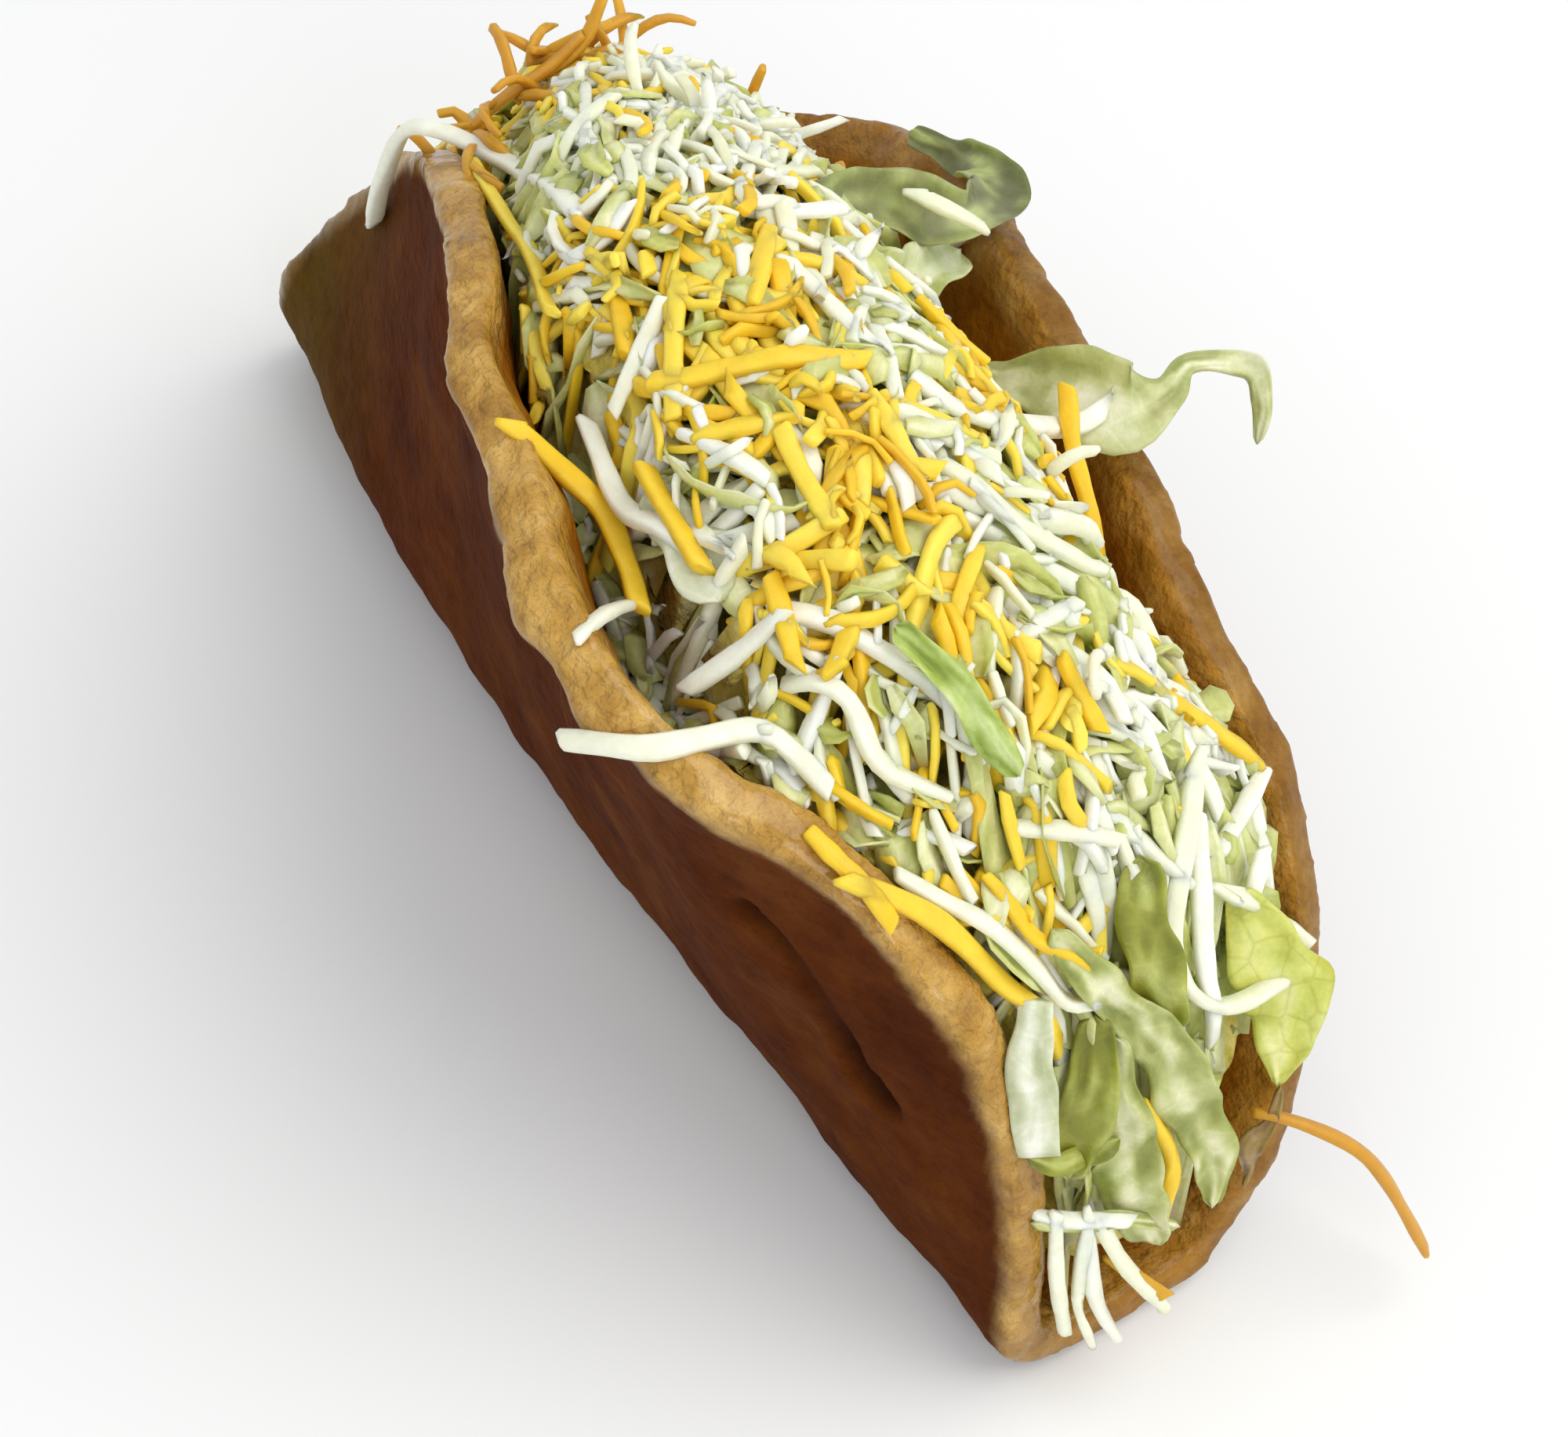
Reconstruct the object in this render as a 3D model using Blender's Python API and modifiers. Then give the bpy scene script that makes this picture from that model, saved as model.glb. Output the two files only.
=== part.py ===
"""A folded flatbread taco filled with shredded lettuce and shredded cheese.

Frame: +Z is up and the part rests on the flat strip under its fold.  +X runs along the fold, towards the
end where the filling is lowest.  The near wall stands on the -Y side, the far wall on the +Y side.  The
origin is the middle of the strip it rests on.  Lengths below are in millimetres, angles in degrees.
"""
import bpy
import bmesh
from math import copysign, cos, hypot, pi, radians, sin
from mathutils import Vector

MM = 0.001
COLLECTION = "taco"

# ---- Driving dimensions -------------------------------------------------------------------------------
HALF_LENGTH = 86.0          # half the length of the fold
NEAR_SIDE = 94.5            # width of the flat bread from the fold to the near rim
FAR_SIDE = 81.0             # the same to the far rim
THICKNESS = 5.2             # bread at its puffed rim
BASE_THICKNESS = 0.85       # the bread under the fold, as a share of THICKNESS
RIM_ROUND = 1.7             # rounding of the rim's two edges
FOLD_FLAT = 7.0             # half width of the strip it rests on
FOLD_RADIUS = 14.5          # outer radius of the bend from the strip into a wall
END_LIFT = 0.8              # how far the strip's two ends curl up off the table
END_LENGTH = 8.0            # over this length
GAP = 1.3                   # air between neighbouring pieces

# The flat bread is a disc squared off by these exponents: 2 is round, more is squarer.
CORNER_LEFT = 2.0
CORNER_RIGHT_NEAR = 2.8
CORNER_RIGHT_FAR = 2.1

# Values at evenly spaced stations along the fold, from the -X end to the +X end.
NEAR_LEAN = (115, 96, 80, 71, 90)           # how far the near wall is bent up from the table
FAR_LEAN = (61, 54, 68, 71, 53)
BEND_SHARE = (1.0, 1.0, 1.0, 0.8, 0.6)      # the bend's radius as a share of FOLD_RADIUS
NEAR_FLARE = (0, 15, 28, 17, 0)             # how far the near rim turns outwards again
DRIFT = (6.9, 1.7, 0.0, 0.3, 1.2)           # the fold's sideways wander
NEAR_CURL = 7.5                             # how far each wall curls in on its way up
FAR_CURL = 2.4
FLARE_WIDTH = 16.0                          # the strip under the near rim that turns outwards

NEAR_BARE = (2, 3, 5, 9, 11, 5, 2)          # wall left bare between the filling and the near rim
FAR_BARE = (2, 8, 16, 15, 8, 2, 2)
CROWN = (5, 12, 17, 20, 18, 11, 5)           # how far the filling mounds over the line from edge to edge
HEAP_LEFT = -81.0                           # the two ends of the filling
HEAP_RIGHT = 83.0
CHEESE_LEFT = -72.0                         # the two ends of the cheese on top of it
CHEESE_RIGHT = 72.0
CHEESE_COVER = 0.44                         # half of the filling's width that cheese covers
CHEESE_DEPTH = 9.0                          # how far the cheese sinks into the lettuce
CHEESE_RISE = 2.0                           # how far it stands above the mound

LEAF_THICKNESS = 1.1
LEAF_CUP = 0.22                             # how far a leaf's edges lift, as a share of its half width


# ---- Shape functions ----------------------------------------------------------------------------------
def along(stations, x):
    """A smooth curve through evenly spaced stations, read at x."""
    last = len(stations) - 1
    place = min(max((x / HALF_LENGTH + 1) / 2, 0.0), 1.0) * last
    i = min(int(place), last - 1)
    f = place - i
    a, b = stations[i], stations[i + 1]
    before = stations[max(i - 1, 0)]
    after = stations[min(i + 2, last)]
    slope_a, slope_b = (b - before) / 2, (after - a) / 2
    return (a * (1 + 2 * f) * (1 - f) ** 2 + slope_a * f * (1 - f) ** 2
            + b * f * f * (3 - 2 * f) + slope_b * f * f * (f - 1))


def corner(side, x_share):
    """The squaring exponent of the bread's outline, from x_share -1 to 1."""
    right = CORNER_RIGHT_NEAR if side < 0 else CORNER_RIGHT_FAR
    blend = min(max(x_share * 2 + 0.5, 0.0), 1.0)
    return CORNER_LEFT + (right - CORNER_LEFT) * blend


def wall_width(side, x):
    """Width of the flat bread from the fold to the rim at x."""
    share = min(abs(x) / HALF_LENGTH, 1.0)
    n = corner(side, x / HALF_LENGTH)
    return (NEAR_SIDE if side < 0 else FAR_SIDE) * (1 - share ** n) ** (1 / n)


def ripple(side, x):
    """Waves of the rim, in degrees of lean."""
    return 1.2 * sin(x / 6.3 + side) + 0.9 * sin(x / 3.9 + 2 * side + 1)


def fold_point(x, s, depth=0.0):
    """A point of the folded bread, `depth` inside its outer face, s from the fold towards a rim."""
    side = -1 if s < 0 else 1
    full = NEAR_SIDE if side < 0 else FAR_SIDE
    width = wall_width(side, x)
    lean = along(NEAR_LEAN if side < 0 else FAR_LEAN, x)
    curl = NEAR_CURL if side < 0 else FAR_CURL
    flare = along(NEAR_FLARE, x) if side < 0 else 0.0
    radius = FOLD_RADIUS * along(BEND_SHARE, x)
    bend_end = FOLD_FLAT + radius * radians(lean)
    steps = max(1, round(abs(s) / 1.5))
    ds = abs(s) / steps
    y = z = 0.0

    def heading(r):
        angle = min(max(r - FOLD_FLAT, 0.0) / radius, radians(lean))
        upper = min(max((r - bend_end) / max(full - bend_end, 5.0), 0.0), 1.0)
        rim = min(max((r - width + FLARE_WIDTH) / FLARE_WIDTH, 0.0), 1.0)
        return angle + radians((curl + ripple(side, x)) * upper - flare * rim)

    for i in range(steps):
        angle = heading((i + 0.5) * ds)
        y += cos(angle) * ds
        z += sin(angle) * ds
    angle = heading(abs(s))
    y -= sin(angle) * depth
    z += cos(angle) * depth
    z += END_LIFT * (max(abs(x) - HALF_LENGTH + END_LENGTH, 0.0) / END_LENGTH) ** 2
    return Vector((x, side * y + along(DRIFT, x), z)) * MM


def edge_point(side, x):
    """Where the filling meets the inside of a wall."""
    bare = along(NEAR_BARE if side < 0 else FAR_BARE, x)
    s = max(wall_width(side, x) - bare, 1.5)
    return fold_point(x, side * s, THICKNESS + GAP)


def bumps(x, t):
    """Unevenness of the heaped filling, between -1 and 1."""
    return 0.4 * sin(x / 5.1 + 4 * t) + 0.35 * sin(x / 3.3 - 15 * t) + 0.25 * sin(21 * t + x / 9)


def heap_point(x, t, lift=0.0):
    """The filling's upper surface: t runs from the near wall (0) to the far wall (1)."""
    near, far = edge_point(-1, x), edge_point(1, x)
    arch = max(4 * t * (1 - t), 0.0)
    rise = along(CROWN, x) * arch ** 0.7 + 1.4 * bumps(x, t) * arch
    point = near.lerp(far, t)
    point.z += (rise + lift) * MM
    return point


def floor_point(x, t):
    """The filling's underside, against the bread."""
    near = -max(wall_width(-1, x) - along(NEAR_BARE, x), 1.5)
    far = max(wall_width(1, x) - along(FAR_BARE, x), 1.5)
    return fold_point(x, near + (far - near) * t, THICKNESS + GAP)


def cheese_share(x, t):
    """How deep the cheese is at a place of the heap: 1 in its middle, 0 past its edge."""
    middle, half = (CHEESE_LEFT + CHEESE_RIGHT) / 2, (CHEESE_RIGHT - CHEESE_LEFT) / 2
    return max(1 - ((x - middle) / half) ** 2 - ((t - 0.5) / CHEESE_COVER) ** 2, 0.0)


# ---- Blender helpers ----------------------------------------------------------------------------------
def material(name, color, roughness):
    mat = bpy.data.materials.new(name)
    mat.use_nodes = True
    shader = mat.node_tree.nodes["Principled BSDF"]
    shader.inputs["Base Color"].default_value = (*color, 1.0)
    shader.inputs["Roughness"].default_value = roughness
    shader.inputs["Metallic"].default_value = 0.0
    return mat


def add_object(name, bm, mat):
    mesh = bpy.data.meshes.new(name)
    bm.to_mesh(mesh)
    bm.free()
    mesh.shade_smooth()
    mesh.materials.append(mat)
    obj = bpy.data.objects.new(name, mesh)
    bpy.data.collections[COLLECTION].objects.link(obj)
    return obj


def start_scene():
    for obj in list(bpy.data.objects):
        bpy.data.objects.remove(obj, do_unlink=True)
    bpy.context.scene.collection.children.link(bpy.data.collections.new(COLLECTION))


# ---- The bread ----------------------------------------------------------------------------------------
def make_shell(mat):
    """A squared-off disc, folded by fold_point and thickened inwards, with a rounded rim."""
    bm = bmesh.new()
    bmesh.ops.create_grid(bm, x_segments=28, y_segments=36, size=1.0)
    weights = {}
    for vert in bm.verts:
        u, v = vert.co.x, vert.co.y
        v *= 0.72 + 0.28 * v * v                    # finer columns under the fold
        disc_x = u * (1 - v * v / 2) ** 0.5
        disc_s = v * (1 - u * u / 2) ** 0.5
        reach = hypot(disc_x, disc_s)
        side = -1 if disc_s < 0 else 1
        if reach > 1e-6:
            cx, cs = abs(disc_x) / reach, abs(disc_s) / reach
            n = corner(side, disc_x)
            square = 1 / (cx ** n + cs ** n) ** (1 / n)
            disc_x *= square
            disc_s *= square
        x = disc_x * HALF_LENGTH
        s = disc_s * (NEAR_SIDE if side < 0 else FAR_SIDE)
        vert.co = fold_point(x, s)
        weights[vert.index] = min(1.0, BASE_THICKNESS + (1 - BASE_THICKNESS) * reach ** 3)
    bmesh.ops.reverse_faces(bm, faces=bm.faces)
    shell = add_object("shell", bm, mat)
    puff = shell.vertex_groups.new(name="puff")
    for index, weight in weights.items():
        puff.add([index], weight, "REPLACE")
    solidify = shell.modifiers.new("thickness", "SOLIDIFY")
    solidify.thickness = THICKNESS * MM
    solidify.offset = -1.0
    solidify.use_even_offset = True
    solidify.vertex_group = puff.name
    bevel = shell.modifiers.new("rim", "BEVEL")
    bevel.width = RIM_ROUND * MM
    bevel.segments = 2
    bevel.limit_method = "ANGLE"
    bevel.angle_limit = radians(60)
    return shell


# ---- The heaps ----------------------------------------------------------------------------------------
def make_heap(name, mat, rings, around, ends, spread, upper, lower):
    """A closed body between two surfaces of (x, t), from a sphere whose axis becomes the length."""
    bm = bmesh.new()
    bmesh.ops.create_uvsphere(bm, u_segments=around, v_segments=rings, radius=1.0)
    left, right = ends
    for vert in bm.verts:
        ring = hypot(vert.co.x, vert.co.y)
        across = vert.co.x / ring if ring > 1e-6 else 0.0
        above = vert.co.y / ring if ring > 1e-6 else 0.0
        grow = spread(ring)
        x = (left + right) / 2 + (right - left) / 2 * vert.co.z
        t = 0.5 + 0.5 * across * grow
        level = 0.5 + 0.5 * grow * copysign(abs(above) ** 0.5, above)
        vert.co = lower(x, t).lerp(upper(x, t), level)
    bmesh.ops.recalc_face_normals(bm, faces=bm.faces)
    return add_object(name, bm, mat)


def make_lettuce(mat):
    return make_heap(
        "lettuce", mat, rings=36, around=24, ends=(HEAP_LEFT, HEAP_RIGHT),
        spread=lambda ring: min(1.0, 1.35 * ring ** 0.6),
        upper=lambda x, t: heap_point(x, t, -CHEESE_DEPTH * cheese_share(x, t)),
        lower=floor_point)


def make_cheese(mat):
    return make_heap(
        "cheese", mat, rings=24, around=16, ends=(CHEESE_LEFT, CHEESE_RIGHT),
        spread=lambda ring: ring * 2 * CHEESE_COVER,
        upper=lambda x, t: heap_point(x, t, GAP + CHEESE_RISE * cheese_share(x, t) ** 0.5),
        lower=lambda x, t: heap_point(x, t, GAP - CHEESE_DEPTH * cheese_share(x, t)))


# ---- Lettuce pieces large enough to count as pieces of their own --------------------------------------
def route_point(route, f):
    """A smooth curve through the route's points, f from 0 to 1."""
    last = len(route) - 1
    place = min(f * last, last - 1e-6)
    i = int(place)
    f = place - i
    a, b = route[i], route[i + 1]
    before = route[i - 1] if i > 0 else a * 2 - b
    after = route[i + 2] if i + 2 <= last else b * 2 - a
    return 0.5 * (2 * a + (b - before) * f + (2 * before - 5 * a + 4 * b - after) * f * f
                  + (3 * a - before - 3 * b + after) * f ** 3)


def make_leaf(name, mat, route, half_width, across_start, across_end):
    """A curved ribbon along a route, cupped across its width and narrowed at both ends."""
    bm = bmesh.new()
    bmesh.ops.create_grid(bm, x_segments=12, y_segments=4, size=1.0)
    for vert in bm.verts:
        f, v = (vert.co.x + 1) / 2, vert.co.y
        tangent = (route_point(route, min(f + 0.02, 1)) - route_point(route, max(f - 0.02, 0))).normalized()
        across = Vector(across_start).lerp(Vector(across_end), f)
        across = (across - tangent * across.dot(tangent)).normalized()
        up = across.cross(tangent)
        if up.z < 0:
            up = -up
        width = half_width * (0.45 + 0.55 * sin(pi * f) ** 0.5)
        vert.co = route_point(route, f) + (across * v + up * LEAF_CUP * v * v) * width * MM
    leaf = add_object(name, bm, mat)
    solidify = leaf.modifiers.new("thickness", "SOLIDIFY")
    solidify.thickness = LEAF_THICKNESS * MM
    solidify.offset = 0.0
    return leaf


def at(x, y, z):
    return Vector((x, y, z)) * MM


def make_leaves(mat):
    """Routes are read from the heap's surface, (x, t, lift), or are free points past its edge."""
    heap = heap_point
    make_leaf("leaf_wing", mat, half_width=5.5, across_start=(0.6, -0.6, 0.4), across_end=(0.9, -0.4, 0.2),
              route=(at(9, 26, 63), at(15, 32, 66.5), at(21, 38, 66.5), at(23, 45, 66),
                     at(26, 49, 65.5), at(30, 48, 60)))
    make_leaf("leaf_loop", mat, half_width=5.0, across_start=(1, 0.2, 0), across_end=(0.3, 0.9, -0.2),
              route=(heap(6, 0.68, 6), at(3, 24, 69), at(-2, 33, 67), at(-9, 40.5, 65.5),
                     at(-17, 44, 63), at(-26, 45.5, 60)))
    make_leaf("leaf_tip", mat, half_width=6.0, across_start=(0.45, 0.6, -0.5), across_end=(0.5, 0.6, -0.3),
              route=(heap(69, 0.74, 5.2), heap(74, 0.82, 6.5), at(79.5, 18, 39), at(81.5, 19, 31)))
    make_leaf("leaf_strip", mat, half_width=4.2, across_start=(0, 1, 0), across_end=(-0.2, 1, 0.1),
              route=(heap(66, 0.2, 3.6), heap(72, 0.26, 3.4), heap(77, 0.4, 4.0), at(82, 7, 35),
                     at(85.5, 10, 24), at(87.5, 12, 14)))
    make_leaf("leaf_rib", mat, half_width=2.5, across_start=(0, 1, 0), across_end=(0, 1, 0),
              route=(heap(72, 0.05, 2.6), heap(77, 0.08, 3.2), at(83, -8.5, 35)))
    make_leaf("leaf_pale", mat, half_width=2.8, across_start=(0, 1, 0.3), across_end=(0, 1, 0.3),
              route=(heap(18, 0.05, 3.4), heap(25, 0.07, 4.2), heap(33, 0.08, 3.8)))
    make_leaf("leaf_green", mat, half_width=2.6, across_start=(0.3, 1, 0), across_end=(0.5, 1, 0),
              route=(heap(47, 0.30, 5.6), heap(53, 0.29, 5.6), heap(58, 0.26, 5.0), heap(62, 0.25, 4.6)))
    make_leaf("leaf_olive", mat, half_width=2.8, across_start=(0, 1, 0), across_end=(0, 1, 0),
              route=(heap(67, 0.56, 5.0), heap(72, 0.54, 3.8), heap(77, 0.60, 3.6)))


def build():
    start_scene()
    lettuce = material("lettuce", (0.50, 0.62, 0.28), 0.4)
    make_shell(material("fried_bread", (0.36, 0.17, 0.06), 0.5))
    make_lettuce(lettuce)
    make_cheese(material("cheese", (0.90, 0.66, 0.16), 0.45))
    make_leaves(material("lettuce_leaf", (0.62, 0.72, 0.38), 0.35))


build()
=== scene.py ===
"""The looks of a flatbread taco: fried shell, shredded lettuce, shredded cheese, loose leaves.

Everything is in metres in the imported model's frame: +X runs along the fold towards the low end of the
filling, -Y is the near wall's side, +Z is up.  MM turns the millimetres written here into metres.
"""

from math import cos, pi, radians, sin

import bmesh
import bpy
import numpy as np
from mathutils import Matrix, Vector, noise
from mathutils.bvhtree import BVHTree
from mathutils.kdtree import KDTree


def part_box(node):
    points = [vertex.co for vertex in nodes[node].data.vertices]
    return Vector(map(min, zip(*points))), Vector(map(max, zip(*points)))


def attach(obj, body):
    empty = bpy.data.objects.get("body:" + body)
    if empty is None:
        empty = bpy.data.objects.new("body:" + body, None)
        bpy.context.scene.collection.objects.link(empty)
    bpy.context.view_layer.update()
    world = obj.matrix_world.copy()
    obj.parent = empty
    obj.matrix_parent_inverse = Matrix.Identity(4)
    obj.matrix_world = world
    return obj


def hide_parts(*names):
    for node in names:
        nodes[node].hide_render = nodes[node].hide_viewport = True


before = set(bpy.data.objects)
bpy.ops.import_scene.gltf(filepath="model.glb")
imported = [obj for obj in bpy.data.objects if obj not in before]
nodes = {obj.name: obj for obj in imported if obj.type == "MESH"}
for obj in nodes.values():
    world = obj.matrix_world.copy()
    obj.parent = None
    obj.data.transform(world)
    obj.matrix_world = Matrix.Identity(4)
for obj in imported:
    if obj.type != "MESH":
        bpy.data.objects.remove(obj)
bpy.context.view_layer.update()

MM = 0.001
SEED = 20
rng = np.random.default_rng(SEED)


# ---- Small helpers ------------------------------------------------------------------------------------
def smooth_step(value, low, high):
    f = np.clip((value - low) / (high - low), 0, 1)
    return f * f * (3 - 2 * f)


def field(points, size, seed, octaves=1):
    """Smooth noise between about -1 and 1 at each point; size is the width of a lump in metres."""
    shift = Vector((seed * 7.31, seed * 3.17, seed * 5.71))
    if octaves == 1:
        return np.array([noise.noise(Vector(p) / size + shift) for p in points])
    return np.array([noise.fractal(Vector(p) / size + shift, 0.7, 2.1, octaves) for p in points])


def rgb(code):
    """The linear colour that a hex code such as "#f0c020" stands for."""
    parts = [int(code[i:i + 2], 16) / 255 for i in (1, 3, 5)]
    return tuple(((v + 0.055) / 1.055) ** 2.4 if v > 0.04 else v / 12.92 for v in parts)


def mesh_object(name, verts, faces, mat, smooth=True):
    mesh = bpy.data.meshes.new(name)
    mesh.from_pydata([tuple(v) for v in verts], [], faces)
    mesh.validate()
    if smooth:
        mesh.shade_smooth()
    mesh.materials.append(mat)
    obj = bpy.data.objects.new(name, mesh)
    bpy.context.scene.collection.objects.link(obj)
    return obj


def set_attribute(mesh, name, values):
    layer = mesh.attributes.new(name, "FLOAT", "POINT")
    layer.data.foreach_set("value", np.asarray(values, np.float32))


def coordinates(mesh):
    co = np.zeros(len(mesh.vertices) * 3)
    mesh.vertices.foreach_get("co", co)
    return co.reshape(-1, 3)


def normals(mesh):
    no = np.zeros(len(mesh.vertices) * 3)
    mesh.vertices.foreach_get("normal", no)
    return no.reshape(-1, 3)


def tree_of(*meshes):
    """A ray-casting tree over several meshes."""
    verts, faces = [], []
    for mesh in meshes:
        start = len(verts)
        verts += [v.co.copy() for v in mesh.vertices]
        faces += [[start + i for i in p.vertices] for p in mesh.polygons]
    return BVHTree.FromPolygons(verts, faces)


def refined(names, name, voxel, smoothing):
    """A fine, evenly meshed copy of one or more CAD nodes, as one mesh."""
    bm = bmesh.new()
    for node in names:
        bm.from_mesh(nodes[node].data)
    bmesh.ops.remove_doubles(bm, verts=bm.verts, dist=1e-5)
    mesh = bpy.data.meshes.new(name + "_work")
    bm.to_mesh(mesh)
    bm.free()
    work = bpy.data.objects.new(name + "_work", mesh)
    bpy.context.scene.collection.objects.link(work)
    remesh = work.modifiers.new("even", "REMESH")
    remesh.mode = "VOXEL"
    remesh.voxel_size = voxel
    soften = work.modifiers.new("soften", "SMOOTH")
    soften.factor = 0.5
    soften.iterations = smoothing
    graph = bpy.context.evaluated_depsgraph_get()
    graph.update()
    result = bpy.data.meshes.new_from_object(work.evaluated_get(graph), depsgraph=graph)
    bpy.data.objects.remove(work, do_unlink=True)
    result.name = name
    return result


# ---- Node materials -----------------------------------------------------------------------------------
class Nodes:
    """Short calls for building a node material around one Principled shader."""

    def __init__(self, name):
        self.mat = bpy.data.materials.new(name)
        self.mat.use_nodes = True
        self.tree = self.mat.node_tree
        self.shader = self.tree.nodes["Principled BSDF"]
        self.place = self.tree.nodes.new("ShaderNodeTexCoord").outputs["Object"]

    def link(self, a, b):
        self.tree.links.new(a, b)

    def attribute(self, name):
        node = self.tree.nodes.new("ShaderNodeAttribute")
        node.attribute_name = name
        return node.outputs["Fac"]

    def noise(self, size, detail=3.0, rough=0.55):
        """Noise whose lumps are `size` metres wide."""
        node = self.tree.nodes.new("ShaderNodeTexNoise")
        node.inputs["Scale"].default_value = 1 / size
        node.inputs["Detail"].default_value = detail
        node.inputs["Roughness"].default_value = rough
        self.link(self.place, node.inputs["Vector"])
        return node.outputs["Fac"]

    def cells(self, size, feature="F1"):
        node = self.tree.nodes.new("ShaderNodeTexVoronoi")
        node.feature = feature
        node.inputs["Scale"].default_value = 1 / size
        self.link(self.place, node.inputs["Vector"])
        return node.outputs["Distance"]

    def ramp(self, factor, *stops):
        node = self.tree.nodes.new("ShaderNodeValToRGB")
        ramp = node.color_ramp
        while len(ramp.elements) < len(stops):
            ramp.elements.new(0.5)
        for element, (position, color) in zip(ramp.elements, stops):
            element.position = position
            element.color = (*color, 1) if len(color) == 3 else color
        self.link(factor, node.inputs["Fac"])
        return node.outputs["Color"]

    def math(self, kind, a, b=None):
        node = self.tree.nodes.new("ShaderNodeMath")
        node.operation = kind
        for socket, value in zip(node.inputs, (a, b)):
            if value is None:
                continue
            if isinstance(value, (int, float)):
                socket.default_value = value
            else:
                self.link(value, socket)
        return node.outputs[0]

    def mix(self, factor, a, b, blend="MIX"):
        node = self.tree.nodes.new("ShaderNodeMix")
        node.data_type = "RGBA"
        node.blend_type = blend
        for socket, value in ((node.inputs[0], factor), (node.inputs[6], a), (node.inputs[7], b)):
            if isinstance(value, tuple):
                socket.default_value = (*value, 1)
            elif isinstance(value, (int, float)):
                socket.default_value = value
            else:
                self.link(value, socket)
        return node.outputs[2]

    def bump(self, height, depth, strength=1.0):
        node = self.tree.nodes.new("ShaderNodeBump")
        node.inputs["Strength"].default_value = strength
        node.inputs["Distance"].default_value = depth
        self.link(height, node.inputs["Height"])
        self.link(node.outputs["Normal"], self.shader.inputs["Normal"])

    def set(self, **values):
        for key, value in values.items():
            socket = self.shader.inputs[key.replace("_", " ")]
            if hasattr(value, "is_linked"):
                self.link(value, socket)
            else:
                socket.default_value = value


def bread_material():
    """Fried dough: dark brown outside, partly deeper frying and partly painted shade; lighter brown inside;
    a golden oily rim; painted shade in the crease.
    """
    m = Nodes("fried_bread")
    patch = m.noise(0.016, 4, 0.6)
    # Painted shade mixed with the bread's own colour: the outer wall's browns are darker than the frying
    # alone gives, standing in for the shade on the wall turned from the key light.
    outer_fry_and_shade = m.ramp(patch, (0.30, rgb("#441b04")), (0.52, rgb("#562808")), (0.75, rgb("#68380e")))
    inner = m.ramp(patch, (0.30, rgb("#7a4608")), (0.52, rgb("#925a10")), (0.75, rgb("#a87420")))
    wall = m.mix(m.attribute("inside"), outer_fry_and_shade, inner)
    rim = m.ramp(m.noise(0.006, 4, 0.6), (0.28, rgb("#946820")), (0.5, rgb("#b88c3c")),
                 (0.72, rgb("#d8b064")))
    color = m.mix(m.attribute("rim"), wall, rim)
    color = m.mix(m.attribute("olive"), color, rgb("#584410"))
    # Painted shade: the crease on the outer near wall is mixed towards near black.
    color = m.mix(m.attribute("dark"), color, rgb("#240c04"))
    speckled = m.ramp(m.noise(0.0028, 4, 0.65), (0.30, (0.80, 0.76, 0.70)), (0.5, (1, 1, 1)),
                      (0.75, (1.12, 1.12, 1.1)))
    color = m.mix(1.0, color, speckled, "MULTIPLY")
    m.set(Base_Color=color, Specular_IOR_Level=0.03, Roughness=0.7)
    m.set(Coat_Weight=m.math("MULTIPLY", m.attribute("rim"), 0.7), Coat_Roughness=0.14)
    pebbles = m.math("ADD", m.math("MULTIPLY", m.cells(0.0017), 0.7), m.noise(0.0009, 2))
    height = m.math("MULTIPLY", pebbles, m.math("ADD", m.math("MULTIPLY", m.attribute("rim"), 0.6), 0.4))
    m.bump(height, 0.0011, 0.8)
    return m.mat


def cheese_material(name, deep, middle, light):
    m = Nodes(name)
    color = m.ramp(m.attribute("tone"), (0.0, rgb(deep)), (0.5, rgb(middle)), (1.0, rgb(light)))
    cloud = m.ramp(m.noise(0.0022, 3), (0.3, (0.92, 0.90, 0.86)), (0.7, (1.03, 1.03, 1.03)))
    m.set(Base_Color=m.mix(1.0, color, cloud, "MULTIPLY"), Roughness=0.42, Specular_IOR_Level=0.4)
    m.set(Subsurface_Weight=0.4, Subsurface_Radius=(0.0026, 0.0020, 0.0010), Subsurface_Scale=1.0)
    m.bump(m.noise(0.0006, 3), 0.00015, 0.5)
    return m.mat


def lettuce_material(name, dark, middle, pale, vein=(1.1, 1.08, 1.12), vein_size=0.004, weight=0.35):
    """Leaf: darker green at the edges, pale at the rib, with a net of veins."""
    m = Nodes(name)
    color = m.ramp(m.attribute("tone"), (0.0, rgb(dark)), (0.45, rgb(middle)), (1.0, rgb(pale)))
    mottle = m.ramp(m.noise(0.0035, 5, 0.65), (0.3, (0.74, 0.80, 0.60)), (0.7, (1.10, 1.08, 1.12)))
    color = m.mix(1.0, color, mottle, "MULTIPLY")
    net = m.ramp(m.cells(vein_size, "DISTANCE_TO_EDGE"), (0.0, vein), (0.07, (1, 1, 1)))
    color = m.mix(1.0, color, net, "MULTIPLY")
    m.set(Base_Color=color, Roughness=0.3, Specular_IOR_Level=0.4)
    m.set(Subsurface_Weight=weight, Subsurface_Radius=(0.002, 0.0025, 0.0014), Subsurface_Scale=1.0)
    m.bump(m.noise(0.0016, 3), 0.0004, 0.5)
    return m.mat


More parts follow.
